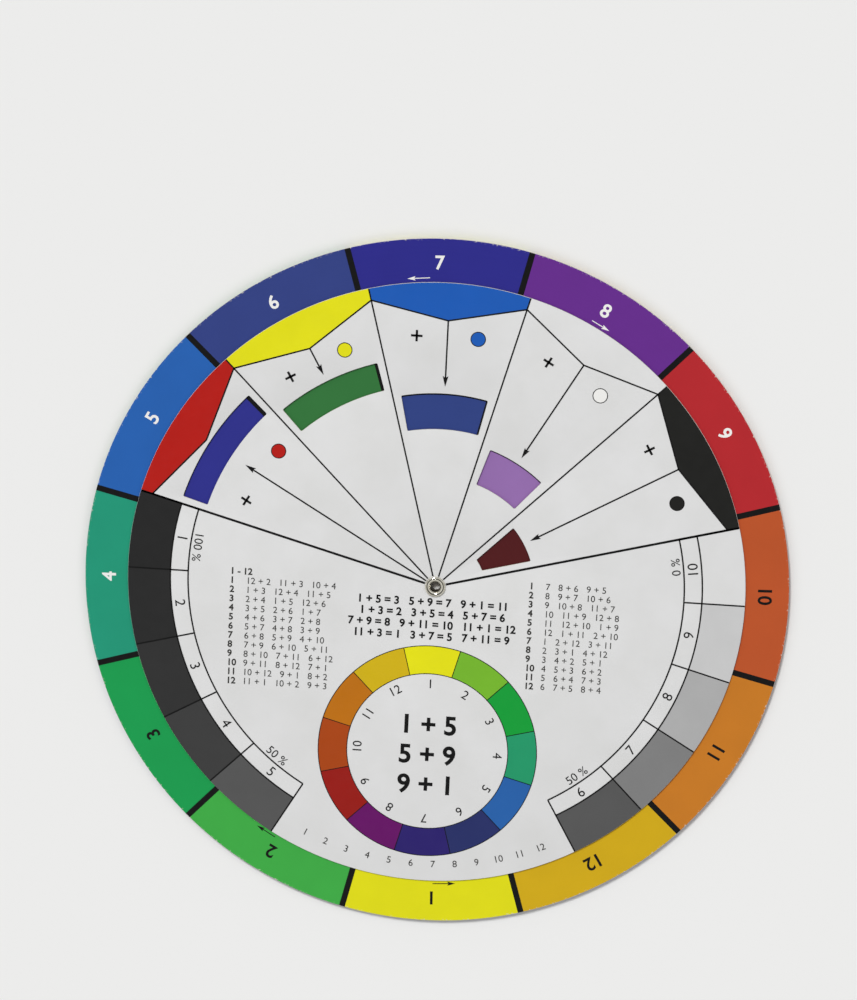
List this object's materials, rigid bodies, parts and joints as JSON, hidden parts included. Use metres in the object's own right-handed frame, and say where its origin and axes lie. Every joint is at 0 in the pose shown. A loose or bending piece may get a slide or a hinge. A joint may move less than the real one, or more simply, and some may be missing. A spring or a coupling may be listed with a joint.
{
  "type": "color mixing wheel",
  "caption": "Round card mixing wheel: an outer hue wheel with a windowed dial turning on each face about a rolled eyelet.",
  "frame": {"origin": "on the eyelet's axis, at the lowest plane that the wheel touches when it lies front side up", "axes": "+Z out of the front face along the eyelet's axis; +Y towards the hue at the top of the wheel, so hues run clockwise from +Y when seen from the front; +X to the right of the front"},
  "size_m": [0.13, 0.13, 0.0025],
  "materials": {
    "wheel_card": "satin",
    "front_dial_card": "satin",
    "back_dial_card": "satin",
    "nickel_plate": "polished"
  },
  "bodies": {
    "wheel": {"base_disc": "wheel_card", "eyelet": "nickel_plate"},
    "front_dial": {"front_dial": "front_dial_card"},
    "back_dial": {"back_dial": "back_dial_card"}
  },
  "joints": [
    {"name": "front_dial_turn", "type": "hinge", "parent": "wheel", "child": "front_dial", "pos_m": [0, 0, 0.00179], "axis": [0, 0, 1], "continuous": true},
    {"name": "back_dial_turn", "type": "hinge", "parent": "wheel", "child": "back_dial", "pos_m": [0, 0, 0.0007], "axis": [0, 0, 1], "continuous": true}
  ]
}
